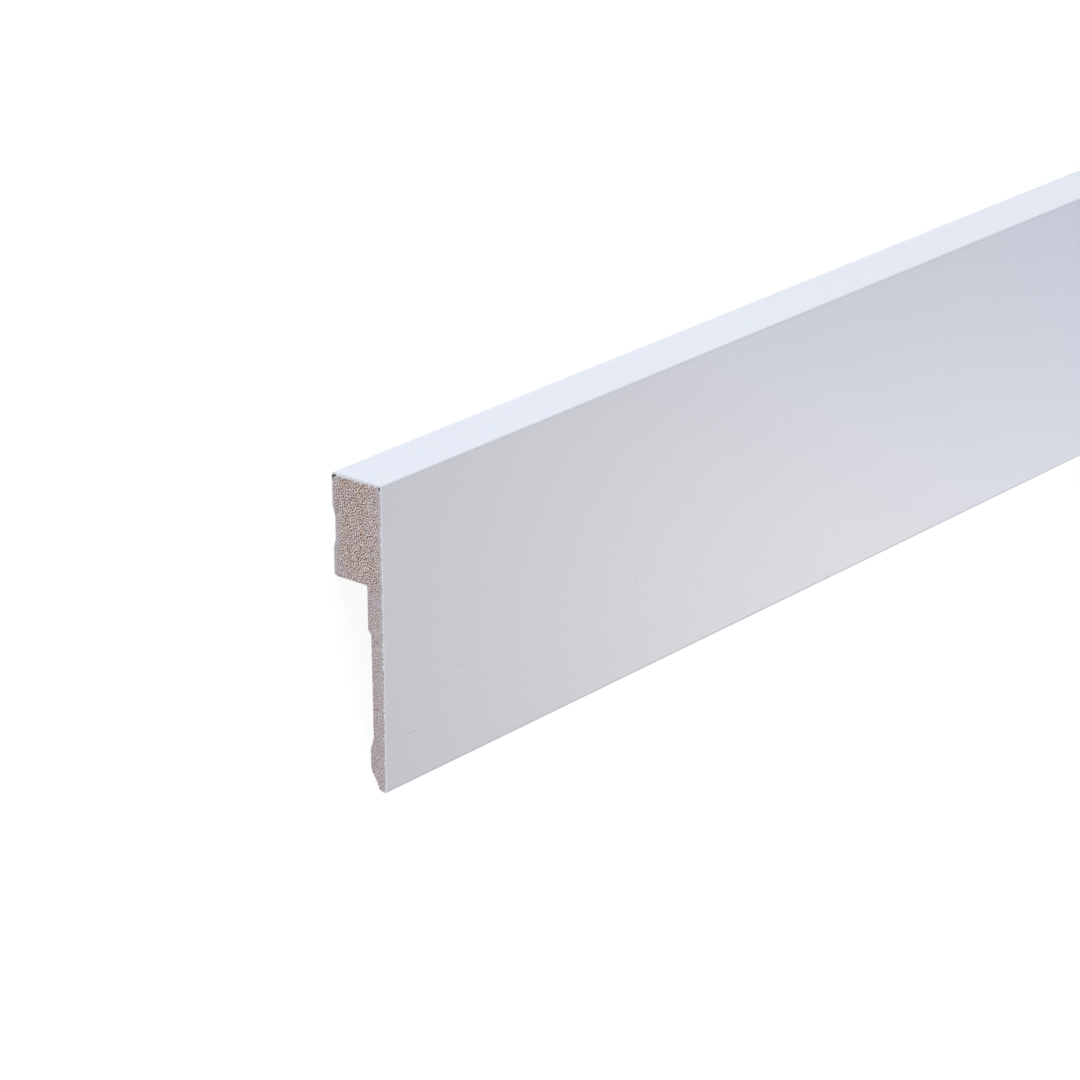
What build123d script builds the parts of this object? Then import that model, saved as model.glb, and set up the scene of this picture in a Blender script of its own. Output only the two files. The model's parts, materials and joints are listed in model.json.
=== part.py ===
"""A cover skirting board: a thick head, a thin apron in front of a rebate that slips over an
older skirting, and a white film glued round the visible faces.

The section is drawn as it stands on a wall, in millimetres: height above the lower edge, and
depth behind the visible front face. The board is then laid down face up, as it rests unheld on
a level floor: on the head's lower back corner and on the bead of the toe. X runs along the
board, Y from its lower edge towards its top edge, Z up, and the origin is the middle of the
underside of its box.
"""
from build123d import *
import math
import os

# Overall size
LENGTH = 2400.0
HEIGHT = 100.0
THICKNESS = 20.0

# White film round the front, the top and the upper land of the back; radii inside the film
FILM = 0.4
FILM_FRONT_CORNER = 0.2
FILM_BACK_CORNER = 0.6
TOE_CORNER = 0.5

# Head, measured down from the top edge
HEAD_HEIGHT = 33.3
UPPER_LAND = 11.2
LOWER_LAND = 9.1
RECESS_DEPTH = 0.8
RECESS_RAMP = 2.8
RECESS_ROUND = 2.0
HEAD_CORNER = 1.1

# Bevels of the core's top corners, which the film bridges
FRONT_BEVEL_HEIGHT = 2.8
FRONT_BEVEL_DEPTH = 1.0
BACK_BEVEL_HEIGHT = 1.7
BACK_BEVEL_DEPTH = 1.5
BACK_SLOPE_HEIGHT = 0.25
BACK_SLOPE_DEPTH = 3.6
BEVEL_ROUND = 0.3

# Apron in front of the rebate, with a step that thins it
APRON_UPPER = 6.4
APRON_LOWER = 5.2
APRON_TAPER = 0.2
UPPER_APRON_HEIGHT = 14.3
STEP_HEIGHT = 1.4
REBATE_CORNER = 0.5
STEP_ROUND = 0.3

# Toe along the lower edge, measured up from it
TOE_UNDERSIDE = 3.1
TOE_BACK = 3.7
TOE_HEIGHT = 2.5
BEAD_DEPTH = 6.25
BEAD_BOTTOM = 6.4
BEAD_TOP = 13.4
BEAD_RAMP = 3.5
BEAD_ROUND = 2.0
TOE_ROUND = 0.7


def at(height, depth):
    """Point of the section: height runs to the right and depth runs down, so the face is up."""
    return (height, -depth)


# Corners that several outlines share
core_top = HEIGHT - FILM
land_depth = THICKNESS - FILM
front_bottom = at(FILM, FILM)
film_end = at(HEIGHT - UPPER_LAND, land_depth)
rebate_ceiling = HEIGHT - HEAD_HEIGHT
head_corner = at(rebate_ceiling, land_depth)
bead_corner = at(BEAD_BOTTOM, BEAD_DEPTH)


def core_section():
    """Moulded core: the outline goes up the front, over the top and down the back."""
    lower_land_top = rebate_ceiling + LOWER_LAND
    recess_depth = land_depth - RECESS_DEPTH
    step_top = rebate_ceiling - UPPER_APRON_HEIGHT
    corners = [
        (front_bottom, TOE_CORNER),
        (at(core_top - FRONT_BEVEL_HEIGHT, FILM), BEVEL_ROUND),
        (at(core_top, FILM + FRONT_BEVEL_DEPTH), BEVEL_ROUND),
        (at(core_top, land_depth - BACK_SLOPE_DEPTH), 0),
        (at(core_top - BACK_SLOPE_HEIGHT, land_depth - BACK_BEVEL_DEPTH), BEVEL_ROUND),
        (at(core_top - BACK_BEVEL_HEIGHT, land_depth), BEVEL_ROUND),
        (film_end, 0),
        (at(HEIGHT - UPPER_LAND - RECESS_RAMP, recess_depth), RECESS_ROUND),
        (at(lower_land_top + RECESS_RAMP, recess_depth), RECESS_ROUND),
        (at(lower_land_top, land_depth), HEAD_CORNER),
        (head_corner, HEAD_CORNER),
        (at(rebate_ceiling, APRON_UPPER), REBATE_CORNER),
        (at(step_top, APRON_UPPER), STEP_ROUND),
        (at(step_top - STEP_HEIGHT, APRON_LOWER), STEP_ROUND),
        (at(BEAD_TOP + BEAD_RAMP, APRON_LOWER - APRON_TAPER), BEAD_ROUND),
        (at(BEAD_TOP, BEAD_DEPTH), BEAD_ROUND),
        (bead_corner, BEAD_ROUND),
        (at(TOE_HEIGHT, TOE_BACK), TOE_ROUND),
        (at(FILM, TOE_UNDERSIDE), TOE_ROUND),
    ]
    points = [point for point, _ in corners]
    radii = [radius for _, radius in corners]
    return make_face(FilletPolyline(*points, radius=radii, close=True))


def film_section():
    """Film: a band of one thickness laid on the core from the toe's underside to the upper land.

    It bridges the core's two bevelled top corners and leaves a narrow void behind each of them.
    """
    toe_end = at(FILM, TOE_UNDERSIDE - TOE_ROUND)
    front_top = at(core_top, FILM)
    back_top = at(core_top, land_depth)
    radii = [TOE_CORNER, FILM_FRONT_CORNER, FILM_BACK_CORNER]
    path = FilletPolyline(toe_end, front_bottom, front_top, back_top, film_end, radius=radii)
    return make_face(offset(path, amount=FILM, side=Side.LEFT, kind=Kind.ARC))


def resting_tilt(section):
    """Angle in degrees of the common tangent under the bead's and the head's corner rounds."""
    rounds = section.edges().filter_by(GeomType.CIRCLE)
    bead = rounds.sort_by_distance(bead_corner)[0]
    head = rounds.sort_by_distance(head_corner)[0]
    across = head.arc_center - bead.arc_center
    rise_of_centres = math.atan2(-across.Y, across.X)
    correction = math.asin((bead.radius - head.radius) / across.length)
    return math.degrees(rise_of_centres - correction)


def lie_down(section, tilt, place):
    """Extrude a section along X and turn it about X onto its two lines of contact."""
    board = extrude(Plane.YZ * section, amount=LENGTH / 2, both=True)
    return place * Rot(X=tilt) * board


core = core_section()
film = film_section()
tilt = resting_tilt(core)
box = (Rot(X=tilt) * (Plane.YZ * (core + film))).bounding_box()
place = Pos(Y=-box.center().Y, Z=-box.min.Z)

os.makedirs("parts", exist_ok=True)
export_step(lie_down(core, tilt, place), "parts/profile_core.step")
export_step(lie_down(film, tilt, place), "parts/white_film.step")
print(f"resting tilt {tilt:.3f} degrees, box {box.size.Y:.2f} by {box.size.Z:.2f} mm")
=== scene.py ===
"""Looks of a cover skirting board, lying face up on a pale floor.

The board is drawn as it stands on a wall, in millimetres: along its length from the near sawn
end, height above its lower edge, and depth behind its visible face. BoardFrame turns such places
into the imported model's frame. The core is a grid of grains on each sawn end with its outline
carried between them, and the film is a band carried along the same length.
"""
import json
import logging
import math
from dataclasses import dataclass, field
from enum import Enum

import bpy
import numpy as np
from mathutils import Matrix, Vector


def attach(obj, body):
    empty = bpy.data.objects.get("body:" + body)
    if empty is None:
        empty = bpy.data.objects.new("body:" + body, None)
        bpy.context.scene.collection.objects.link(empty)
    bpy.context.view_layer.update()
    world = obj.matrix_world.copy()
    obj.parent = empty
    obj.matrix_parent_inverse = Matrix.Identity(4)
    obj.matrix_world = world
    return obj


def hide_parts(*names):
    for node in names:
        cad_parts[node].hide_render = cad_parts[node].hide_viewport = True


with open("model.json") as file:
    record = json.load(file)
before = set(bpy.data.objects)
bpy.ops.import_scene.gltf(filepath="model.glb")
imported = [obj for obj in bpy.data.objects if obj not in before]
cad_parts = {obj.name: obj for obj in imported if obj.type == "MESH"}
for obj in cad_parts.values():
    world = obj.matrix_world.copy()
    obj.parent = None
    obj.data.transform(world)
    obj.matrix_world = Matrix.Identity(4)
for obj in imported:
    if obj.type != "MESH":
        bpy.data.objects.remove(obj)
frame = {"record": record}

LOG = logging.getLogger("skirting")
MM = 0.001
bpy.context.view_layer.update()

# Map for baked colours: its name, and the part of it that is used, clear of the border
BAKE_MAP = "OFBake"
MAP_EDGE = 0.02
MAP_SPAN = 0.96

# Middle of a value that runs from 0 to 1, and the range that most of a noise texture lies in
MIDDLE = 0.5
NOISE_LOW = 0.3
NOISE_HIGH = 0.7

# Part of a fleck's and of a speck's reach that is fully covered
FLECK_FULL = 0.4
SPOT_FULL = 0.5

# Colour sockets of a Mix node
MIX_INPUTS = (0, 6, 7)
MIX_RESULT = 2

Node = bpy.types.Node
Socket = bpy.types.NodeSocket
Tree = bpy.types.NodeTree
Colour = tuple[float, float, float, float]


class BoardEnd(Enum):
    """The two sawn ends, each with the side of the board's middle that it is on."""

    NEAR = -1
    FAR = 1


@dataclass(frozen=True)
class BoardSizes:
    """Sizes of the board's section and length in millimetres."""

    length: float = 2400.0
    height: float = 100.0
    thickness: float = 20.0
    film: float = 0.4
    film_front_corner: float = 0.2
    film_back_corner: float = 0.6
    toe_corner: float = 0.5
    front_bevel_height: float = 2.8
    front_bevel_depth: float = 1.0
    back_bevel_height: float = 1.7
    back_bevel_depth: float = 1.5
    back_slope_height: float = 0.25
    back_slope_depth: float = 3.6
    bevel_round: float = 0.3
    head_height: float = 33.3
    upper_land: float = 11.2
    lower_land: float = 9.1
    recess_depth: float = 0.8
    recess_ramp: float = 2.8
    recess_round: float = 2.0
    head_corner: float = 1.1
    apron_upper: float = 6.4
    apron_lower: float = 5.2
    apron_taper: float = 0.2
    upper_apron_height: float = 14.3
    step_height: float = 1.4
    rebate_corner: float = 0.5
    step_round: float = 0.3
    toe_underside: float = 3.1
    toe_back: float = 3.7
    toe_height: float = 2.5
    toe_round: float = 0.7
    bead_depth: float = 6.25
    bead_bottom: float = 6.4
    bead_top: float = 13.4
    bead_ramp: float = 3.5
    bead_round: float = 2.0

    @property
    def land(self) -> float:
        """Depth of both glue lands on the core."""
        return self.thickness - self.film

    @property
    def land_end(self) -> float:
        """Height at which the upper land and the film on it end."""
        return self.height - self.upper_land

    @property
    def core_top(self) -> float:
        """Height of the core's top edge."""
        return self.height - self.film

    @property
    def ceiling(self) -> float:
        """Height of the head's underside, which closes the rebate."""
        return self.height - self.head_height


SIZES = BoardSizes()


def rounded(corners: list[tuple[float, float, float]], steps: int = 10) -> np.ndarray:
    """Open outline whose corners are replaced by arcs.

    Each arc touches its two sides at radius / tan(half the angle) from the corner, and its points
    are the start and end spokes from its centre blended by sines, so they keep the radius.

    Args:
        corners: height, depth and radius of each corner; a radius of 0 keeps the corner sharp.
        steps: points on each arc.

    Returns:
        Points of the outline, one row of height and depth each.
    """
    places = np.array([corner[:2] for corner in corners])
    share = np.linspace(0.0, 1.0, steps)[:, None]
    stretches = []
    for index, (*_, radius) in enumerate(corners):
        corner = places[index]
        if radius == 0:
            stretches.append(corner[None])
            continue
        back = places[index - 1] - corner
        ahead = places[index + 1] - corner
        back /= np.linalg.norm(back)
        ahead /= np.linalg.norm(ahead)
        half = math.acos(float(back @ ahead)) / 2
        centre = corner + (back + ahead) / np.linalg.norm(back + ahead) * radius / math.sin(half)
        start = corner + back * radius / math.tan(half) - centre
        end = corner + ahead * radius / math.tan(half) - centre
        turn = math.pi - 2 * half
        blend = np.sin((1 - share) * turn) * start + np.sin(share * turn) * end
        stretches.append(centre + blend / math.sin(turn))
    return np.vstack(stretches)


@dataclass(frozen=True)
class BoardFrame:
    """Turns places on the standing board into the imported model's frame.

    The record's upper glue land gives the lean and the place: its axis points out of the back,
    and its position is the middle of that land.
    """

    lean_sine: float
    lean_cosine: float
    shift_y: float
    shift_z: float

    @classmethod
    def from_record(cls, record: dict) -> "BoardFrame":
        """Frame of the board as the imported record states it.

        Args:
            record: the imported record.

        Returns:
            The frame of the board.
        """
        land = next(m for m in record["mounts"] if m["name"] == "upper_glue_land")
        sine = land["axis"][1]
        cosine = -land["axis"][2]
        flat_top = SIZES.core_top - SIZES.film_back_corner
        height = (SIZES.land_end + flat_top) / 2
        across = height * cosine + SIZES.thickness * sine
        above = height * sine - SIZES.thickness * cosine
        return cls(sine, cosine, land["pos_m"][1] / MM - across, land["pos_m"][2] / MM - above)

    def place(self, along: np.ndarray, height: np.ndarray, depth: np.ndarray) -> np.ndarray:
        """Places in metres: the section is leaned about the length, and the length is centred.

        Args:
            along: distance from the near end.
            height: height above the lower edge.
            depth: depth behind the face.

        Returns:
            One row of X, Y and Z for each place.
        """
        along, height, depth = np.broadcast_arrays(along, height, depth)
        across = height * self.lean_cosine + depth * self.lean_sine + self.shift_y
        above = height * self.lean_sine - depth * self.lean_cosine + self.shift_z
        places = np.stack([along - SIZES.length / 2, across, above], axis=-1)
        return places.reshape(-1, 3) * MM

    def upward(self) -> Vector:
        """The standing board's upward direction, leaned as the board is."""
        return Vector((0.0, self.lean_cosine, self.lean_sine))


BOARD = BoardFrame.from_record(frame["record"])


@dataclass(frozen=True)
class GrainField:
    """Random grains over the section, sampled anywhere by bilinear interpolation.

    The spectrum of white noise is cut off above the frequency of the finest grain, raised in a
    bell round the frequency of the commonest one, and scaled back to a spread of one.
    """

    seed: int
    grain: float
    finest: float = 0.5
    raster: float = 0.1
    rise: float = 1.6
    width: float = 0.32
    cut_power: int = 4
    least_frequency: float = 1e-6

    def raster_values(self) -> np.ndarray:
        """The field on its raster, which reaches past the section on both far sides.

        Returns:
            Values of mean zero and spread one, with rows up the board and columns into it.
        """
        rows = int(SIZES.height / self.raster) + 2
        columns = int(SIZES.thickness / self.raster) + 2
        noise = np.random.default_rng(self.seed).standard_normal((rows, columns))
        up = np.fft.fftfreq(rows, self.raster)[:, None]
        across = np.fft.rfftfreq(columns, self.raster)[None]
        frequency = np.maximum(np.hypot(up, across), self.least_frequency)
        octaves = np.log2(frequency * self.grain)
        bell = self.rise * np.exp(-((octaves / self.width) ** 2) / 2)
        kept = (1 + bell) * np.exp(-((frequency * self.finest) ** self.cut_power))
        kept[0, 0] = 0.0
        values = np.fft.irfft2(np.fft.rfft2(noise) * kept, s=(rows, columns))
        return values / values.std()

    def at(self, height: np.ndarray, depth: np.ndarray) -> np.ndarray:
        """Value of the field at each place of the section.

        Args:
            height: heights in millimetres.
            depth: depths in millimetres.

        Returns:
            Values of mean zero and spread one, in the shape of the inputs.
        """
        values = self.raster_values()
        row, column = height / self.raster, depth / self.raster
        r, c = row.astype(int), column.astype(int)
        fr, fc = row - r, column - c
        low = values[r, c] * (1 - fc) + values[r, c + 1] * fc
        high = values[r + 1, c] * (1 - fc) + values[r + 1, c + 1] * fc
        return low * (1 - fr) + high * fr


def ease(values: np.ndarray, start: float, end: float) -> np.ndarray:
    """Smooth step: 0 before start, 1 past end and 3t^2 - 2t^3 between them."""
    t = np.clip((values - start) / (end - start), 0.0, 1.0)
    return t * t * (3 - 2 * t)


def piece_from_quads(
    name: str,
    places: np.ndarray,
    quads: np.ndarray,
    slots: np.ndarray,
    bake_places: np.ndarray,
    materials: list[bpy.types.Material],
    sharp_angle: float,
) -> bpy.types.Object:
    """Object at the origin made of quads, with smooth shading broken at sharp edges.

    Args:
        name: the piece's name.
        places: vertices in metres, one row each.
        quads: vertex numbers of each face, seen counter-clockwise from outside.
        slots: material slot of each face.
        bake_places: map place of each corner of each face.
        materials: materials of the slots.
        sharp_angle: angle in degrees past which an edge is shaded sharp.

    Returns:
        The new object, linked to the scene.
    """
    mesh = bpy.data.meshes.new(name)
    mesh.vertices.add(len(places))
    mesh.vertices.foreach_set("co", places.astype(np.float32).ravel())
    mesh.loops.add(quads.size)
    mesh.loops.foreach_set("vertex_index", quads.astype(np.int32).ravel())
    mesh.polygons.add(len(quads))
    starts = np.arange(0, quads.size, quads.shape[1], dtype=np.int32)
    mesh.polygons.foreach_set("loop_start", starts)
    mesh.polygons.foreach_set("material_index", slots.astype(np.int32))
    mesh.update(calc_edges=True)
    mesh.shade_smooth()
    mesh.set_sharp_from_angle(angle=math.radians(sharp_angle))
    layer = mesh.uv_layers.new(name=BAKE_MAP)
    layer.uv.foreach_set("vector", bake_places.astype(np.float32).ravel())
    for material in materials:
        mesh.materials.append(material)
    piece = bpy.data.objects.new(name, mesh)
    bpy.context.scene.collection.objects.link(piece)
    return piece


def point_values(piece: bpy.types.Object, name: str, values: np.ndarray) -> None:
    """Store one number for each vertex of a piece, for its materials to read."""
    attribute = piece.data.attributes.new(name, "FLOAT", "POINT")
    attribute.data.foreach_set("value", values.astype(np.float32).ravel())


def carried(rings: np.ndarray) -> np.ndarray:
    """Quads between the stations of a closed loop that goes up the face and down the back.

    Args:
        rings: vertex numbers of the loop, one row for each station.

    Returns:
        Vertex numbers of each quad, station by station.
    """
    after = np.roll(rings, -1, axis=1)
    corners = [rings[:-1], rings[1:], after[1:], after[:-1]]
    return np.stack(corners, axis=-1).reshape(-1, len(corners))


def corner_places(across: np.ndarray, along: np.ndarray) -> np.ndarray:
    """Map places of the carried quads' corners.

    Args:
        across: map place of each loop edge's start, with one more for the last edge's end.
        along: map place of each station.

    Returns:
        Four map places for each quad, in the order of carried().
    """
    start, end = across[None, :-1], across[None, 1:]
    low, high = along[:-1, None], along[1:, None]
    corners = [(start, low), (start, high), (end, high), (end, low)]
    places = [np.stack(np.broadcast_arrays(a, b), axis=-1) for a, b in corners]
    return np.stack(places, axis=2).reshape(-1, len(corners), 2)


def on_map(share: np.ndarray) -> np.ndarray:
    """Map places of shares from 0 to 1, clear of the map's border."""
    return MAP_EDGE + MAP_SPAN * share


class Nodes:
    """Short way to add and join the nodes of one tree."""

    def __init__(self, tree: Tree) -> None:
        """Start with an empty tree."""
        self.tree = tree
        tree.nodes.clear()

    def add(self, kind: str, inputs: dict | None = None, **settings: object) -> Node:
        """Add a node.

        Args:
            kind: the node's type.
            inputs: socket name or number to a value or to the socket that feeds it.
            settings: properties of the node.

        Returns:
            The new node.
        """
        node = self.tree.nodes.new(kind)
        for name, value in settings.items():
            setattr(node, name, value)
        for name, value in (inputs or {}).items():
            self.feed(node.inputs[name], value)
        return node

    def feed(self, socket: Socket, value: object) -> None:
        """Join a socket to another one, or give it a value.

        Args:
            socket: the input to feed.
            value: the socket that feeds it, or its value.
        """
        if isinstance(value, Socket):
            self.tree.links.new(value, socket)
        else:
            socket.default_value = value

    def math(self, operation: str, *values: object, clamp: bool = False) -> Socket:
        """Result of a Math node.

        Args:
            operation: the node's operation.
            values: values or sockets, in the order of its inputs.
            clamp: whether the result is kept from 0 to 1.

        Returns:
            The result's socket.
        """
        inputs = dict(enumerate(values))
        node = self.add("ShaderNodeMath", inputs, operation=operation, use_clamp=clamp)
        return node.outputs[0]

    def mix(self, factor: object, first: object, second: object, blend: str = "MIX") -> Socket:
        """Colour between two colours, or another blend of them.

        Args:
            factor: share of the second colour.
            first: colour at a factor of 0.
            second: colour that is mixed in.
            blend: the node's blend.

        Returns:
            The colour's socket.
        """
        inputs = dict(zip(MIX_INPUTS, (factor, first, second)))
        node = self.add("ShaderNodeMix", inputs, data_type="RGBA", blend_type=blend)
        return node.outputs[MIX_RESULT]

    def ramp(self, factor: Socket, colours: tuple[Colour, ...]) -> Socket:
        """Colour of a ramp whose stops are spread evenly.

        Args:
            factor: place on the ramp, from 0 to 1.
            colours: colours of the stops.

        Returns:
            The colour's socket.
        """
        node = self.add("ShaderNodeValToRGB", {0: factor})
        elements = node.color_ramp.elements
        stops = [index / (len(colours) - 1) for index in range(len(colours))]
        for stop in stops[1:-1]:
            elements.new(stop)
        for element, stop, colour in zip(elements, stops, colours):
            element.position = stop
            element.color = colour
        return node.outputs[0]

    def span(self, value: Socket, low: float, high: float, to_low: float, to_high: float) -> Socket:
        """Value carried from one range to another and kept within it.

        Args:
            value: the value.
            low: start of its range.
            high: end of its range.
            to_low: result at the start.
            to_high: result at the end.

        Returns:
            The result's socket.
        """
        names = ("Value", "From Min", "From Max", "To Min", "To Max")
        inputs = dict(zip(names, (value, low, high, to_low, to_high)))
        return self.add("ShaderNodeMapRange", inputs).outputs[0]


def rgb(red: float, green: float, blue: float) -> Colour:
    """Opaque colour from linear parts."""
    return (red, green, blue, 1.0)


def new_group(
    name: str, inputs: dict[str, float], outputs: list[str]
) -> tuple[Tree, Nodes, bpy.types.NodeOutputs]:
    """Empty shader node group whose first input is a position.

    Args:
        name: the group's name.
        inputs: name and default of each number that it takes.
        outputs: names of the numbers that it gives.

    Returns:
        The group, its node helper and the sockets of what it is given.
    """
    tree = bpy.data.node_groups.new(name, "ShaderNodeTree")
    tree.interface.new_socket("Position", in_out="INPUT", socket_type="NodeSocketVector")
    for title, default in inputs.items():
        socket = tree.interface.new_socket(title, in_out="INPUT", socket_type="NodeSocketFloat")
        socket.default_value = default
    for title in outputs:
        tree.interface.new_socket(title, in_out="OUTPUT", socket_type="NodeSocketFloat")
    nodes = Nodes(tree)
    return tree, nodes, nodes.add("NodeGroupInput").outputs


def mottle_group() -> Tree:
    """Soft unevenness at a coarse and a fine wavelength, both given in repeats per metre.

    Returns:
        A group that gives Cloud and Fine, each from 0 to 1.
    """
    details = {"Cloud": 3.0, "Fine": 2.0}
    scales = {"Cloud Scale": 12.0, "Fine Scale": 900.0}
    tree, nodes, given = new_group("soft_mottle", scales, list(details))
    gives = {}
    for name, detail in details.items():
        inputs = {"Vector": given["Position"], "Scale": given[f"{name} Scale"], "Detail": detail}
        gives[name] = nodes.add("ShaderNodeTexNoise", inputs).outputs[0]
    nodes.add("NodeGroupOutput", gives)
    return tree


def fleck_group() -> Tree:
    """Small flecks: cells of a Voronoi pattern whose random number is low enough to show.

    Returns:
        A group that gives Fleck, 1 inside a fleck and 0 elsewhere.
    """
    inputs = {"Scale": 400.0, "Share": 0.1, "Reach": 0.35}
    tree, nodes, given = new_group("flecks", inputs, ["Fleck"])
    pattern = {"Vector": given["Position"], "Scale": given["Scale"]}
    cells = nodes.add("ShaderNodeTexVoronoi", pattern).outputs
    pick = nodes.add("ShaderNodeSeparateColor", {0: cells["Color"]}).outputs[0]
    chosen = nodes.math("LESS_THAN", pick, given["Share"])
    near = nodes.math("DIVIDE", cells["Distance"], given["Reach"])
    inside = nodes.span(near, 1.0, FLECK_FULL, 0.0, 1.0)
    nodes.add("NodeGroupOutput", {"Fleck": nodes.math("MULTIPLY", inside, chosen)})
    return tree


def spot_group() -> Tree:
    """Round spot about a place on the face: its share in the middle, fading to 0 at its reach.

    Returns:
        A group that gives Spot; its place and reach are in metres.
    """
    inputs = {"Along": 0.0, "Across": 0.0, "Reach": 0.0005, "Share": 1.0}
    tree, nodes, given = new_group("speck_spot", inputs, ["Spot"])
    place = nodes.add("ShaderNodeSeparateXYZ", {0: given["Position"]}).outputs
    squares = []
    for axis, name in (("X", "Along"), ("Y", "Across")):
        offset = nodes.math("SUBTRACT", place[axis], given[name])
        squares.append(nodes.math("MULTIPLY", offset, offset))
    distance = nodes.math("SQRT", nodes.math("ADD", *squares))
    near = nodes.math("DIVIDE", distance, given["Reach"])
    inside = nodes.span(near, 1.0, SPOT_FULL, 0.0, 1.0)
    nodes.add("NodeGroupOutput", {"Spot": nodes.math("MULTIPLY", inside, given["Share"])})
    return tree


class SharedEffects:
    """Node groups that the finishes use."""

    def __init__(self) -> None:
        """Build each group once."""
        self.mottle = mottle_group()
        self.flecks = fleck_group()
        self.spots = spot_group()


@dataclass(frozen=True)
class Finish:
    """A finish of one surface: its name, its sheen and the wavelengths of its unevenness."""

    name: str
    roughness: float
    effects: SharedEffects
    cloud_scale: float = 12.0
    fine_scale: float = 900.0

    def start(self) -> tuple[bpy.types.Material, Nodes, Node]:
        """New material with a Principled shader joined to its output.

        Returns:
            The material, its node helper and the shader.
        """
        material = bpy.data.materials.new(self.name)
        material.use_nodes = True
        nodes = Nodes(material.node_tree)
        shader = nodes.add("ShaderNodeBsdfPrincipled", {"Roughness": self.roughness})
        nodes.add("ShaderNodeOutputMaterial", {"Surface": shader.outputs[0]})
        return material, nodes, shader

    def group(self, nodes: Nodes, tree: Tree, inputs: dict[str, float]) -> bpy.types.NodeOutputs:
        """Place a shared group that reads the piece's own coordinates.

        Args:
            nodes: helper of the material's tree.
            tree: the group.
            inputs: values by input name.

        Returns:
            The sockets of what the group gives.
        """
        place = nodes.add("ShaderNodeTexCoord").outputs["Object"]
        return nodes.add("ShaderNodeGroup", {"Position": place} | inputs, node_tree=tree).outputs

    def mottle(self, nodes: Nodes) -> bpy.types.NodeOutputs:
        """The soft unevenness at this finish's own wavelengths."""
        scales = {"Cloud Scale": self.cloud_scale, "Fine Scale": self.fine_scale}
        return self.group(nodes, self.effects.mottle, scales)


def add_bump(nodes: Nodes, shader: Node, height: Socket, strength: float, depth: float) -> None:
    """Bump a surface by a height that runs from 0 to 1.

    Args:
        nodes: helper of the material's tree.
        shader: the material's shader.
        height: the height.
        strength: how strongly it shows.
        depth: how deep it reaches, in metres.
    """
    inputs = {"Height": height, "Strength": strength, "Distance": depth}
    bump = nodes.add("ShaderNodeBump", inputs)
    nodes.feed(shader.inputs["Normal"], bump.outputs[0])


@dataclass(frozen=True)
class Speck:
    """A tiny grey speck on the face: its middle and reach in millimetres, and its cover."""

    along: float
    height: float
    reach: float
    share: float


@dataclass(frozen=True)
class FilmFinish(Finish):
    """Smooth satin white film, faintly uneven, with a few tiny specks near the sawn end."""

    cloud_scale: float = 9.0
    white: Colour = rgb(0.815, 0.80, 0.845)
    shade: Colour = rgb(0.803, 0.788, 0.833)
    speck: Colour = rgb(0.40, 0.385, 0.40)
    roughness_spread: float = 0.02
    bump_strength: float = 0.012
    bump_depth: float = 0.0002
    specks: tuple[Speck, ...] = (
        Speck(6.5, 17.5, 0.45, 0.4),
        Speck(9.5, 16.0, 0.4, 0.4),
        Speck(11.0, 16.5, 0.4, 0.4),
        Speck(13.0, 16.5, 0.45, 0.45),
        Speck(28.5, 16.5, 0.4, 0.3),
        Speck(34.0, 33.0, 0.4, 0.25),
        Speck(34.0, 31.5, 0.5, 0.5),
        Speck(118.0, 33.0, 0.8, 0.2),
        Speck(120.5, 33.0, 0.9, 0.2),
    )

    def speck_cover(self, nodes: Nodes) -> Socket:
        """Cover of all specks together: the greatest of their spots.

        Args:
            nodes: helper of the material's tree.

        Returns:
            The cover, from 0 to 1.
        """
        cover = 0.0
        for speck in self.specks:
            along, across, _ = BOARD.place(speck.along, speck.height, 0.0)[0]
            place = {"Along": float(along), "Across": float(across)}
            size = {"Reach": speck.reach * MM, "Share": speck.share}
            spot = self.group(nodes, self.effects.spots, place | size)
            cover = nodes.math("MAXIMUM", spot["Spot"], cover)
        return cover

    def material(self) -> bpy.types.Material:
        """The film's visible face.

        Returns:
            The material.
        """
        material, nodes, shader = self.start()
        mottle = self.mottle(nodes)
        even = nodes.span(mottle["Cloud"], NOISE_LOW, NOISE_HIGH, 0.0, 1.0)
        colour = nodes.mix(even, self.shade, self.white)
        colour = nodes.mix(self.speck_cover(nodes), colour, self.speck)
        nodes.feed(shader.inputs["Base Color"], colour)
        sleek = self.roughness - self.roughness_spread
        dull = self.roughness + self.roughness_spread
        rough = nodes.span(mottle["Fine"], NOISE_LOW, NOISE_HIGH, sleek, dull)
        nodes.feed(shader.inputs["Roughness"], rough)
        add_bump(nodes, shader, mottle["Fine"], self.bump_strength, self.bump_depth)
        return material


@dataclass(frozen=True)
class GlueAndShadeFinish(Finish):
    """Dark grey on the film's inner side: its adhesive, with painted shade for the narrow gaps
    where that side shows.
    """

    cloud_scale: float = 80.0
    fine_scale: float = 1500.0
    # Both greys are kept dark as painted shade where this side shows in the gaps at the sawn ends
    pale: Colour = rgb(0.20, 0.20, 0.22)
    dark: Colour = rgb(0.08, 0.08, 0.09)

    def material(self) -> bpy.types.Material:
        """The film's glued side, darkened as painted shade.

        Returns:
            The material.
        """
        material, nodes, shader = self.start()
        colour = nodes.mix(self.mottle(nodes)["Fine"], self.dark, self.pale)
        nodes.feed(shader.inputs["Base Color"], colour)
        return material


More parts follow.
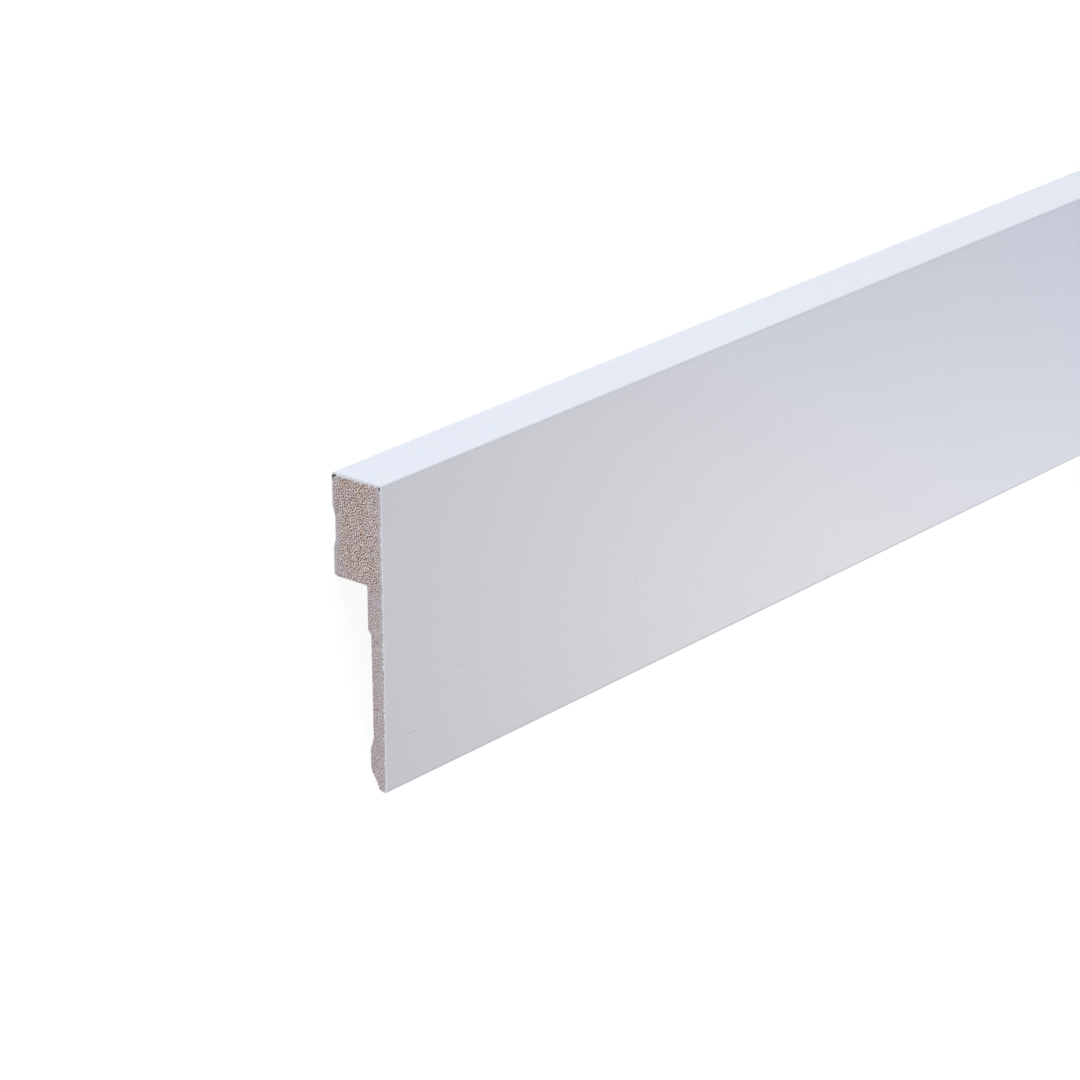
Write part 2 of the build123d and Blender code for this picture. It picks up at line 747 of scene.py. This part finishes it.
@dataclass(frozen=True)
class SawnFinish(Finish):
    """Sawn face of the fine-celled core: brown pores, pale cell walls and a denser grey rim.

    Two pairs of tints stir the colour, the more so the darker the grain is.
    """

    cloud_scale: float = 120.0
    fine_scale: float = 2600.0
    pore: Colour = rgb(0.10, 0.04, 0.022)
    brown: Colour = rgb(0.30, 0.165, 0.128)
    body: Colour = rgb(0.475, 0.374, 0.37)
    light: Colour = rgb(0.67, 0.594, 0.60)
    pale: Colour = rgb(0.83, 0.80, 0.80)
    rim: Colour = rgb(0.535, 0.515, 0.57)
    glue: Colour = rgb(0.24, 0.24, 0.28)
    ochre: Colour = rgb(1.26, 1.0, 0.5)
    violet: Colour = rgb(0.79, 1.0, 1.35)
    rose: Colour = rgb(1.1, 0.89, 1.1)
    moss: Colour = rgb(0.91, 1.12, 0.91)
    stir: float = 0.3
    tinted_tones: tuple[float, float] = (0.2, 1.0)
    tint_shares: tuple[float, float] = (1.0, 0.4)
    glue_cover: float = 0.35
    bump_strength: float = 0.3
    bump_depth: float = 0.0002

    def material(self) -> bpy.types.Material:
        """The sawn face, coloured by the grains that are stored with its vertices.

        Returns:
            The material.
        """
        material, nodes, shader = self.start()
        read = {}
        for name in ("grain", "hue", "rose", "rim", "glue"):
            read[name] = nodes.add("ShaderNodeAttribute", attribute_name=name).outputs["Fac"]
        fine = self.mottle(nodes)["Fine"]
        stir = nodes.math("MULTIPLY_ADD", fine, self.stir, -self.stir / 2)
        tone = nodes.math("ADD", read["grain"], stir, clamp=True)
        colour = nodes.ramp(tone, (self.pore, self.brown, self.body, self.light, self.pale))
        tint_share = nodes.span(tone, *self.tinted_tones, *self.tint_shares)
        for name, low, high in (("hue", self.violet, self.ochre), ("rose", self.moss, self.rose)):
            tint = nodes.mix(read[name], low, high)
            colour = nodes.mix(tint_share, colour, tint, "MULTIPLY")
        colour = nodes.mix(read["rim"], colour, self.rim)
        glued = nodes.math("MULTIPLY", read["glue"], self.glue_cover)
        colour = nodes.mix(glued, colour, self.glue)
        nodes.feed(shader.inputs["Base Color"], colour)
        add_bump(nodes, shader, fine, self.bump_strength, self.bump_depth)
        return material


@dataclass(frozen=True)
class SkinFinish(Finish):
    """Extruded skin of the core: drawn streaks along the board and faint flecks."""

    cloud_scale: float = 25.0
    fine_scale: float = 800.0
    dark: Colour = rgb(0.47, 0.42, 0.41)
    pale: Colour = rgb(0.58, 0.53, 0.52)
    fleck: Colour = rgb(0.36, 0.29, 0.26)
    streak_scales: tuple[float, float, float] = (4.0, 700.0, 700.0)
    streak_detail: float = 4.0
    streak_share: float = 0.6
    cloud_share: float = 0.4
    fleck_scale: float = 420.0
    fleck_share: float = 0.12
    fleck_reach: float = 0.3
    fleck_cover: float = 0.45
    bump_strength: float = 0.25
    bump_depth: float = 0.0004

    def material(self) -> bpy.types.Material:
        """The core's outside, where no film covers it.

        Returns:
            The material.
        """
        material, nodes, shader = self.start()
        place = nodes.add("ShaderNodeTexCoord").outputs["Object"]
        drawn = nodes.add("ShaderNodeMapping", {"Vector": place, "Scale": self.streak_scales})
        noise = {"Vector": drawn.outputs[0], "Scale": 1.0, "Detail": self.streak_detail}
        streaks = nodes.add("ShaderNodeTexNoise", noise).outputs[0]
        clouds = nodes.math("MULTIPLY", self.mottle(nodes)["Cloud"], self.cloud_share)
        tone = nodes.math("MULTIPLY_ADD", streaks, self.streak_share, clouds)
        even = nodes.span(tone, NOISE_LOW, NOISE_HIGH, 0.0, 1.0)
        colour = nodes.mix(even, self.dark, self.pale)
        sizes = {"Scale": self.fleck_scale, "Share": self.fleck_share, "Reach": self.fleck_reach}
        flecks = self.group(nodes, self.effects.flecks, sizes)
        cover = nodes.math("MULTIPLY", flecks["Fleck"], self.fleck_cover)
        nodes.feed(shader.inputs["Base Color"], nodes.mix(cover, colour, self.fleck))
        add_bump(nodes, shader, tone, self.bump_strength, self.bump_depth)
        return material


@dataclass(frozen=True)
class GrainPattern:
    """A pattern of the sawn ends: the value that holds it, its commonest grain and its spread."""

    name: str
    grain: float
    spread: float


@dataclass
class CoreProfile:
    """The extruded core: two sawn ends with grains, and its outline carried between them."""

    sawn: SawnFinish
    skin: SkinFinish

    # Grains of the sawn ends; the first pattern is the tone, and its low values are pores
    patterns: tuple[GrainPattern, ...] = (
        GrainPattern("grain", 0.84, 0.33),
        GrainPattern("hue", 1.0, 0.36),
        GrainPattern("rose", 0.9, 0.36),
    )
    seeds: dict = field(default_factory=lambda: {BoardEnd.NEAR: 11, BoardEnd.FAR: 23})
    pitting: float = 0.1
    pore_depth: float = 0.16
    pore_tones: tuple[float, float] = (-1.6, -0.2)

    # Denser rim: shares and widths of its step and tail, and how it calms the grains
    step_share: float = 0.3
    step_full: float = 0.3
    rim_width: float = 1.6
    tail_share: float = 0.5
    rim_tail: float = 2.6
    rim_most: float = 0.92
    rim_calm: float = 0.3
    rim_filling: float = 0.6
    back_start: float = 0.8
    top_rim: float = 0.8
    top_full: float = 0.2
    top_rim_width: float = 1.1
    apron_rim: float = 0.3
    apron_fade: float = 4.0
    front_rims: tuple[float, ...] = (0.45, 1.0, 1.0, 1.0)
    back_rims: tuple[float, ...] = (1.5, 1.2, 0.7, 0.25)
    glue_width: float = 0.28

    # Values of the outside, where there are no grains
    outside: tuple[tuple[str, float], ...] = (
        ("grain", MIDDLE),
        ("hue", MIDDLE),
        ("rose", MIDDLE),
        ("rim", 1.0),
        ("glue", 0.0),
    )

    # Grid of the section, stations along the board, and places on the map
    apron_columns: int = 34
    head_columns: int = 72
    apron_rows: int = 368
    head_rows: int = 183
    stations: tuple[float, ...] = (1.0, 4.0, 20.0, 120.0, 480.0)
    sharp_angle: float = 50.0
    end_width: float = 0.19
    far_left: float = 0.24
    outside_left: float = 0.46
    outside_width: float = 0.52

    def front_line(self) -> np.ndarray:
        """Core's front from the toe's underside to the bevel of the top corner.

        Returns:
            Points of the line, one row of height and depth each.
        """
        top, front = SIZES.core_top, SIZES.film
        corners = [
            (SIZES.film, SIZES.land, 0),
            (SIZES.film, front, SIZES.toe_corner),
            (top - SIZES.front_bevel_height, front, SIZES.bevel_round),
            (top, front + SIZES.front_bevel_depth, SIZES.bevel_round),
            (top, SIZES.land, 0),
        ]
        return rounded(corners)[1:-1]

    def apron_line(self) -> np.ndarray:
        """Back of the toe and apron, from the toe's underside to the rebate's ceiling.

        Returns:
            Points of the line, one row of height and depth each.
        """
        step_top = SIZES.ceiling - SIZES.upper_apron_height
        ramp_top = SIZES.bead_top + SIZES.bead_ramp
        corners = [
            (SIZES.film, SIZES.film, 0),
            (SIZES.film, SIZES.toe_underside, SIZES.toe_round),
            (SIZES.toe_height, SIZES.toe_back, SIZES.toe_round),
            (SIZES.bead_bottom, SIZES.bead_depth, SIZES.bead_round),
            (SIZES.bead_top, SIZES.bead_depth, SIZES.bead_round),
            (ramp_top, SIZES.apron_lower - SIZES.apron_taper, SIZES.bead_round),
            (step_top - SIZES.step_height, SIZES.apron_lower, SIZES.step_round),
            (step_top, SIZES.apron_upper, SIZES.step_round),
            (SIZES.ceiling, SIZES.apron_upper, SIZES.rebate_corner),
            (SIZES.ceiling, SIZES.land, 0),
        ]
        return rounded(corners)[1:-1]

    def head_line(self) -> np.ndarray:
        """Back of the head, from its lower corner to the bevel of the top corner.

        Returns:
            Points of the line, one row of height and depth each.
        """
        top, land = SIZES.core_top, SIZES.land
        land_top = SIZES.ceiling + SIZES.lower_land
        recess = land - SIZES.recess_depth
        corners = [
            (SIZES.ceiling, SIZES.apron_upper, 0),
            (SIZES.ceiling, land, SIZES.head_corner),
            (land_top, land, SIZES.head_corner),
            (land_top + SIZES.recess_ramp, recess, SIZES.recess_round),
            (SIZES.land_end - SIZES.recess_ramp, recess, SIZES.recess_round),
            (SIZES.land_end, land, 0),
            (top - SIZES.back_bevel_height, land, SIZES.bevel_round),
            (top - SIZES.back_slope_height, land - SIZES.back_bevel_depth, SIZES.bevel_round),
            (top, land - SIZES.back_slope_depth, 0),
        ]
        return rounded(corners)[1:]

    def grid(self) -> tuple[np.ndarray, np.ndarray, np.ndarray]:
        """Heights and depths of the section's grid, and which of its points are used.

        Rows run up the board. On the apron the columns run evenly from the front to the back. On
        the head the first columns end where the apron's do, and the others reach the head's back.

        Returns:
            Height, depth and use of each point, one row for each row of the grid.
        """
        low = np.linspace(SIZES.film, SIZES.ceiling, self.apron_rows + 1)
        high = np.linspace(SIZES.ceiling, SIZES.core_top, self.head_rows + 1)
        rows = np.concatenate([low, high[1:]])
        front = np.interp(rows, *self.front_line().T)
        apron = np.interp(rows, *self.apron_line().T)
        head = np.interp(rows, *self.head_line().T)
        share = np.linspace(0.0, 1.0, self.apron_columns + 1)
        rest = np.linspace(0.0, 1.0, self.head_columns + 1)[1:]
        first = front[:, None] + (apron - front)[:, None] * share
        second = apron[:, None] + (head - apron)[:, None] * rest
        depth = np.hstack([first, second])
        height = np.repeat(rows[:, None], depth.shape[1], axis=1)
        used = np.ones(depth.shape, bool)
        used[: self.apron_rows, self.apron_columns + 1 :] = False
        return height, depth, used

    def rim_loop(self, numbers: np.ndarray) -> np.ndarray:
        """Outline of the grid: up the front, over the top and down the back.

        Args:
            numbers: vertex number of each point of the grid.

        Returns:
            Vertex numbers round the outline.
        """
        ceiling, seam = self.apron_rows, self.apron_columns
        runs = [
            numbers[:, 0],
            numbers[-1, 1:],
            numbers[ceiling:-1, -1][::-1],
            numbers[ceiling, seam:-1][::-1],
            numbers[:ceiling, seam][::-1],
            numbers[0, 1:seam][::-1],
        ]
        return np.concatenate(runs)

    def cells(self, numbers: np.ndarray, used: np.ndarray) -> np.ndarray:
        """Quads of the section's grid whose four points are used, facing the far end.

        Args:
            numbers: vertex number of each point of the grid.
            used: which of the points are used.

        Returns:
            Vertex numbers of each quad.
        """
        corners = [numbers[:-1, :-1], numbers[:-1, 1:], numbers[1:, 1:], numbers[1:, :-1]]
        whole = used[:-1, :-1] & used[:-1, 1:] & used[1:, 1:] & used[1:, :-1]
        return np.stack([corner[whole] for corner in corners], axis=-1)

    def rim_shares(self, height: np.ndarray, depth: np.ndarray) -> tuple[np.ndarray, np.ndarray]:
        """Share of denser stuff at each point, and of glue under the film.

        The denser stuff lies along the front and the back of the head: it is a sum of a narrow
        step and of a tail that dies away exponentially with the distance from the outline. On the
        back it is strongest at the lower land and fades up the head. Under the top edge it is a
        narrow step. The thin apron has less of it along the front, and a share of it throughout.

        Args:
            height: heights of the points.
            depth: depths of the points.

        Returns:
            Both shares, from 0 to 1.
        """
        front = depth - np.interp(height, *self.front_line().T)
        head = np.interp(height, *self.head_line().T) - depth
        back = np.where(height > SIZES.ceiling + self.back_start, head, np.inf)
        near = np.stack([front, back])
        tails = self.tail_share * np.exp(-near / self.rim_tail)
        rims = tails + self.step_share * (1 - ease(near, self.step_full, self.rim_width))
        land_top = SIZES.ceiling + SIZES.lower_land
        marks = (SIZES.ceiling, land_top, SIZES.land_end, SIZES.height)
        rims[0] *= np.interp(height, marks, self.front_rims)
        rims[1] *= np.interp(height, marks, self.back_rims)
        above = ease(height, SIZES.ceiling - self.apron_fade, SIZES.ceiling + self.apron_fade)
        rim = rims.max(0) + self.apron_rim * (1 - above)
        under_top = 1 - ease(SIZES.core_top - height, self.top_full, self.top_rim_width)
        rim = np.minimum(np.maximum(rim, self.top_rim * under_top), self.rim_most)
        land = np.where(height > SIZES.land_end, head, np.inf)
        return rim, 1 - ease(np.minimum(front, land), 0.0, self.glue_width)

    def sawn_end(
        self, end: BoardEnd, height: np.ndarray, depth: np.ndarray, rim: np.ndarray
    ) -> tuple[np.ndarray, dict[str, np.ndarray]]:
        """Points of one sawn end, sunk in at the pores, and the values that colour them.

        A pore is a low tone. Its depth goes from none to the full depth by a smooth step of the
        tone, and the rim partly fills it. The tone is bent down by its square, so that dark grains
        stand out, and the rim calms it.

        Args:
            end: which end it is.
            height: heights of the points.
            depth: depths of the points.
            rim: share of denser stuff at each point.

        Returns:
            Places of the points, and the values of each pattern from 0 to 1.
        """
        fields = [
            GrainField(self.seeds[end] + step, pattern.grain).at(height, depth)
            for step, pattern in enumerate(self.patterns)
        ]
        tone = fields[0]
        sunk = 1 - ease(tone, *self.pore_tones)
        relief = self.pore_depth * sunk * (1 - self.rim_filling * rim)
        face = SIZES.length * (end.value + 1) / 2
        places = BOARD.place(face - end.value * relief, height, depth)
        fields[0] = (tone - self.pitting * (tone**2 - 1)) * (1 - self.rim_calm * rim)
        values = {
            pattern.name: np.clip(MIDDLE + pattern.spread * grains, 0.0, 1.0)
            for pattern, grains in zip(self.patterns, fields)
        }
        return places, values

    def build(self) -> bpy.types.Object:
        """The core as one closed piece.

        Returns:
            The core's object, with grain, hue, rose, rim and glue stored on its vertices.
        """
        height, depth, used = self.grid()
        count = int(used.sum())
        numbers = np.full(used.shape, -1)
        numbers[used] = np.arange(count)
        height, depth = height[used], depth[used]
        rim, glue = self.rim_shares(height, depth)
        near, near_values = self.sawn_end(BoardEnd.NEAR, height, depth, rim)
        far, far_values = self.sawn_end(BoardEnd.FAR, height, depth, rim)
        loop = self.rim_loop(numbers)
        inner = np.array(self.stations)
        inner = np.concatenate([inner, SIZES.length - inner[::-1]])
        side = BOARD.place(inner[:, None], height[loop][None], depth[loop][None])
        middle = count + np.arange(len(side)).reshape(len(inner), len(loop))
        beyond = count + len(side)
        cells = self.cells(numbers, used)
        around = carried(np.vstack([loop, middle, loop + beyond]))
        piece = piece_from_quads(
            name="skirting_core",
            places=np.vstack([near, side, far]),
            quads=np.vstack([cells[:, ::-1], around, cells + beyond]),
            slots=np.repeat([0, 1, 0], [len(cells), len(around), len(cells)]),
            bake_places=self.bake_places(cells, height, depth, inner, len(loop)),
            materials=[self.sawn.material(), self.skin.material()],
            sharp_angle=self.sharp_angle,
        )
        shared = {"rim": rim, "glue": glue}
        near_values |= shared
        far_values |= shared
        for name, plain in self.outside:
            values = [near_values[name], np.full(len(side), plain), far_values[name]]
            point_values(piece, name, np.concatenate(values))
        return piece

    def bake_places(
        self,
        cells: np.ndarray,
        height: np.ndarray,
        depth: np.ndarray,
        inner: np.ndarray,
        around: int,
    ) -> np.ndarray:
        """Map places: each end gets a tall strip, and the outside the rest of the map.

        Args:
            cells: quads of one end.
            height: heights of an end's points.
            depth: depths of an end's points.
            inner: distances of the inner stations along the board.
            around: points of the outline.

        Returns:
            Four map places for each face of the piece.
        """
        tall = on_map(height / SIZES.height)
        wide = self.end_width * depth / SIZES.thickness
        near = np.stack([MAP_EDGE + wide, tall], axis=-1)[cells[:, ::-1]]
        far = np.stack([self.far_left + wide, tall], axis=-1)[cells]
        across = self.outside_left + self.outside_width * np.linspace(0.0, 1.0, around + 1)
        stations = np.concatenate([[0.0], inner, [SIZES.length]])
        outside = corner_places(across, on_map(stations / SIZES.length))
        return np.vstack([near, outside, far])


@dataclass
class FilmWrap:
    """The white film: a thin band carried along the board, with slightly torn sawn edges."""

    face: FilmFinish
    # Inner side of the film: its adhesive, dark as painted shade
    glued: GlueAndShadeFinish

    # Sawn edges: how far the film is torn back, frayed and smeared inwards, and stands out
    tear: float = 0.12
    fray: float = 0.26
    fray_mean: float = 0.5
    fray_range: tuple[float, float] = (-0.4, 1.8)
    top_smear: float = 0.26
    top_slope: float = 0.99
    burr: float = 0.02
    seed: int = 5

    # Points round the band, stations along the board, and places on the map
    pitch: float = 0.35
    pitch_digits: int = 3
    stations: tuple[float, ...] = (0.5, 2.0, 20.0, 120.0, 480.0)
    sharp_angle: float = 40.0
    band_width: float = 0.84
    edge_lefts: tuple[float, float] = (0.88, 0.94)
    edge_width: float = 0.03

    def line(self, inset: float) -> np.ndarray:
        """The band's line at a distance inside its outer face.

        Args:
            inset: that distance, from 0 to the film's thickness.

        Returns:
            Points of the line, one row of height and depth each.
        """
        top, back = SIZES.height - inset, SIZES.thickness - inset
        reach = SIZES.film - inset
        corners = [
            (inset, SIZES.toe_underside - SIZES.toe_round, 0),
            (inset, inset, SIZES.toe_corner + reach),
            (top, inset, SIZES.film_front_corner + reach),
            (top, back, SIZES.film_back_corner + reach),
            (SIZES.land_end, back, 0),
        ]
        return rounded(corners)

    def lines(self) -> tuple[np.ndarray, np.ndarray]:
        """Outer and inner line of the band, point by point across its thickness.

        Returns:
            Heights and depths of the outer and of the inner line.
        """
        outer, inner = self.line(0.0), self.line(SIZES.film)
        lengths = np.linalg.norm(np.diff(outer, axis=0), axis=1)
        travelled = np.concatenate([[0.0], np.cumsum(lengths)])
        even = np.arange(0.0, travelled[-1], self.pitch)
        marks = np.unique(np.concatenate([travelled, even]).round(self.pitch_digits))
        outer_fine, inner_fine = (
            np.stack([np.interp(marks, travelled, part) for part in line.T], axis=-1)
            for line in (outer, inner)
        )
        return outer_fine, inner_fine

    def build(self) -> bpy.types.Object:
        """The film as one closed piece.

        Returns:
            The film's object.
        """
        outer, inner = self.lines()
        points = len(outer)
        random = np.random.default_rng(self.seed)
        loop = np.vstack([outer, inner[::-1]])
        inset = np.array(self.stations)
        along = np.concatenate([[0.0], inset, SIZES.length - inset[::-1], [SIZES.length]])
        height = np.repeat(loop[None, :, 0], len(along), axis=0)
        depth = np.repeat(loop[None, :, 1], len(along), axis=0)
        travel = np.repeat(along[:, None], len(loop), axis=1)
        inward = (inner - outer) / SIZES.film
        smear = np.where(self.on_top(inner, inward), self.top_smear, 0.0)
        for row, sign in ((0, 1), (-1, -1)):
            torn = self.tear * random.random(points)
            spread = random.normal(self.fray_mean, 1.0, points)
            fray = self.fray * spread.clip(*self.fray_range) + smear
            travel[row] += sign * np.concatenate([torn, np.full(points, -self.burr)])
            height[row, points:] += (inward[:, 0] * fray)[::-1]
            depth[row, points:] += (inward[:, 1] * fray)[::-1]
        places = BOARD.place(travel, height, depth)
        rings = np.arange(len(places)).reshape(len(along), len(loop))
        near = self.cap(rings[0], points)
        far = self.cap(rings[-1], points)[:, ::-1]
        edge = np.arange(len(loop))
        # The film's inner faces take the dark adhesive material, which is painted shade in the gaps
        inner_glue_shade = (edge >= points) & (edge < len(loop) - 1)
        sawn = np.zeros(len(near) + len(far))
        return piece_from_quads(
            name="white_film_wrap",
            places=places,
            quads=np.vstack([carried(rings), near, far]),
            slots=np.concatenate([np.tile(inner_glue_shade, len(along) - 1), sawn]),
            bake_places=self.bake_places(along, len(loop), points),
            materials=[self.face.material(), self.glued.material()],
            sharp_angle=self.sharp_angle,
        )

    def on_top(self, inner: np.ndarray, inward: np.ndarray) -> np.ndarray:
        """Which points lie on the top edge, between the core's two bevels.

        Args:
            inner: heights and depths of the inner line.
            inward: direction across the band at each of its points.

        Returns:
            One truth value for each point.
        """
        depth = inner[:, 1]
        past_front = depth > SIZES.film + SIZES.front_bevel_depth
        before_back = depth < SIZES.land - SIZES.back_bevel_depth
        return (inward[:, 0] < -self.top_slope) & past_front & before_back

    def cap(self, ring: np.ndarray, points: int) -> np.ndarray:
        """Quads across the band's sawn edge, facing the near end."""
        outer, inner = ring[:points], ring[points:][::-1]
        return np.stack([outer[:-1], outer[1:], inner[1:], inner[:-1]], axis=-1)

    def bake_places(self, along: np.ndarray, around: int, points: int) -> np.ndarray:
        """Map places: the band's faces side by side, and its two sawn edges in strips.

        Args:
            along: distances of the stations.
            around: points of the band's closed line.
            points: points of its outer line.

        Returns:
            Four map places for each face of the piece.
        """
        across = MAP_EDGE + self.band_width * np.linspace(0.0, 1.0, around + 1)
        sides = corner_places(across, on_map(along / SIZES.length))
        share = on_map(np.linspace(0.0, 1.0, points))
        near, far = (
            corner_places(np.array([left, left + self.edge_width]), share)
            for left in self.edge_lefts
        )
        return np.vstack([sides, near, far[:, ::-1]])


@dataclass(frozen=True)
class PhotoCamera:
    """The photograph's viewpoint, given on the standing board in millimetres.

    The roll is in degrees, lens and sensor are in millimetres and the clips are in metres.
    """

    along: float = -912.5
    above: float = 564.9
    before: float = 825.2
    aim_along: float = 73.07
    aim_height: float = 60.716
    roll: float = -0.289
    lens: float = 148.07
    sensor: float = 36.0
    clip_start: float = 0.01
    clip_end: float = 60.0

    def build(self) -> None:
        """Create the camera; its up is the board's height, rolled a little."""
        stand = Vector(BOARD.place(self.along, self.above, -self.before)[0])
        aim = Vector(BOARD.place(self.aim_along, self.aim_height, 0.0)[0])
        ahead = (aim - stand).normalized()
        level = ahead.cross(BOARD.upward()).normalized()
        upright = level.cross(ahead)
        roll = math.radians(self.roll)
        right = level * math.cos(roll) + upright * math.sin(roll)
        up = upright * math.cos(roll) - level * math.sin(roll)
        data = bpy.data.cameras.new("photo_camera")
        data.lens = self.lens
        data.sensor_width = self.sensor
        data.clip_start = self.clip_start
        data.clip_end = self.clip_end
        camera = bpy.data.objects.new("photo_camera", data)
        turn = Matrix((right, up, -ahead)).transposed().to_4x4()
        camera.matrix_world = Matrix.Translation(stand) @ turn
        bpy.context.scene.collection.objects.link(camera)
        bpy.context.scene.camera = camera


@dataclass(frozen=True)
class Lamp:
    """A soft area lamp: where it hangs, what it faces, its sides, power and tint."""

    name: str
    place: tuple[float, float, float]
    aim: tuple[float, float, float]
    sides: tuple[float, float]
    power: float
    tint: tuple[float, float, float]

    def build(self) -> None:
        """Hang the lamp."""
        data = bpy.data.lights.new(self.name, "AREA")
        data.shape = "RECTANGLE"
        data.size, data.size_y = self.sides
        data.energy = self.power
        data.color = self.tint
        lamp = bpy.data.objects.new(self.name, data)
        lamp.location = self.place
        ahead = Vector(self.aim) - Vector(self.place)
        lamp.rotation_euler = ahead.to_track_quat("-Z", "Y").to_euler()
        bpy.context.scene.collection.objects.link(lamp)


WHITE_LIGHT = (1.0, 1.0, 1.0)
LAMPS = (
    Lamp(
        name="top_edge_lamp",
        place=(-1.4, 2.4, 0.62),
        aim=(-1.4, 0.0, 0.0),
        sides=(2.4, 0.8),
        power=42.2,
        tint=(0.805, 0.915, 1.0),
    ),
    Lamp(
        name="face_lamp",
        place=(-0.2, -0.6, 2.6),
        aim=(-0.2, 0.0, 0.0),
        sides=(3.0, 1.2),
        power=6.5,
        tint=(0.802, 0.948, 1.0),
    ),
    Lamp(
        name="end_lamp",
        place=(-3.4, 0.1, 0.5),
        aim=(-1.2, 0.0, 0.0),
        sides=(1.6, 0.8),
        power=19.8,
        tint=WHITE_LIGHT,
    ),
    Lamp(
        name="far_end_lamp",
        place=(3.4, 0.1, 0.5),
        aim=(1.2, 0.0, 0.0),
        sides=(1.6, 0.8),
        power=15.0,
        tint=WHITE_LIGHT,
    ),
    Lamp(
        name="sheen_lamp",
        place=(3.5, -3.05, 2.6),
        aim=(-0.96, -0.04, 0.0),
        sides=(1.0, 0.8),
        power=34.4,
        tint=(1.0, 0.853, 0.747),
    ),
    Lamp(
        name="window_lamp",
        place=(5.0, -3.0, 2.7),
        aim=(-0.7, -0.04, 0.0),
        sides=(1.4, 1.8),
        power=29.0,
        tint=(0.31, 0.605, 1.0),
    ),
)


@dataclass
class Studio:
    """Pale floor, soft light and an even surround."""

    lamps: tuple[Lamp, ...] = LAMPS
    surround: float = 0.314
    surround_tint: Colour = rgb(0.93, 0.954, 1.0)
    floor_side: float = 30.0
    floor_colour: Colour = rgb(0.82, 0.80, 0.78)
    seen_colour: Colour = rgb(0.27, 0.265, 0.26)
    floor_lift: float = 0.88

    def build(self) -> None:
        """Floor, surround and lamps."""
        self.floor()
        self.world()
        for lamp in self.lamps:
            lamp.build()
        bpy.context.scene.view_settings.view_transform = "Standard"

    def seen(self, nodes: Nodes) -> Socket:
        """Tell what the eye meets from the light that falls on things.

        Args:
            nodes: helper of the tree that asks.

        Returns:
            A socket with 1 for rays from the camera, mirrors and glass, and 0 for others.
        """
        path = nodes.add("ShaderNodeLightPath").outputs
        direct = nodes.math("MAXIMUM", path["Is Camera Ray"], path["Is Glossy Ray"])
        return nodes.math("MAXIMUM", direct, path["Is Transmission Ray"])

    def floor(self) -> None:
        """Pale floor that keeps the board's shadow and is lifted to white for the eye."""
        material = bpy.data.materials.new("pale_floor")
        material.use_nodes = True
        nodes = Nodes(material.node_tree)
        seen = self.seen(nodes)
        colour = nodes.mix(seen, self.floor_colour, self.seen_colour)
        matt = nodes.add("ShaderNodeBsdfDiffuse", {"Color": colour})
        lift = nodes.math("MULTIPLY", seen, self.floor_lift)
        glow = nodes.add("ShaderNodeEmission", {"Strength": lift})
        both = nodes.add("ShaderNodeAddShader", {0: matt.outputs[0], 1: glow.outputs[0]})
        nodes.add("ShaderNodeOutputMaterial", {"Surface": both.outputs[0]})
        half = self.floor_side / 2
        corners = [(-half, -half, 0), (half, -half, 0), (half, half, 0), (-half, half, 0)]
        mesh = bpy.data.meshes.new("pale_floor")
        mesh.from_pydata(corners, [], [(0, 1, 2, 3)])
        mesh.materials.append(material)
        floor = bpy.data.objects.new("pale_floor", mesh)
        bpy.context.scene.collection.objects.link(floor)

    def world(self) -> None:
        """Even surround: white to the eye, and a plain level of light on the board."""
        world = bpy.data.worlds.new("even_surround")
        world.use_nodes = True
        nodes = Nodes(world.node_tree)
        even = {"Color": self.surround_tint, "Strength": self.surround}
        light = nodes.add("ShaderNodeBackground", even).outputs[0]
        plain = {"Color": rgb(*WHITE_LIGHT), "Strength": 1.0}
        white = nodes.add("ShaderNodeBackground", plain).outputs[0]
        both = nodes.add("ShaderNodeMixShader", {0: self.seen(nodes), 1: light, 2: white})
        nodes.add("ShaderNodeOutputWorld", {"Surface": both.outputs[0]})
        bpy.context.scene.world = world


def main() -> None:
    """Build the board's pieces in order, dress them and set up the studio."""
    logging.basicConfig(level=logging.INFO, format="%(message)s")
    effects = SharedEffects()
    core = CoreProfile(
        sawn=SawnFinish(name="sawn_core", roughness=0.85, effects=effects),
        skin=SkinFinish(name="extruded_skin", roughness=0.62, effects=effects),
    ).build()
    film = FilmWrap(
        face=FilmFinish(name="satin_white_film", roughness=0.31, effects=effects),
        # The film's inner side: adhesive, dark as painted shade
        glued=GlueAndShadeFinish(name="grey_adhesive", roughness=0.7, effects=effects),
    ).build()
    for piece, node, slot in ((core, "profile_core", "core"), (film, "white_film", "film")):
        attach(piece, "root")
        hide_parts(node)
        LOG.info("built %s for %s: %d faces", piece.name, node, len(piece.data.polygons))
    Studio().build()
    PhotoCamera().build()


if __name__ == "__main__":
    main()
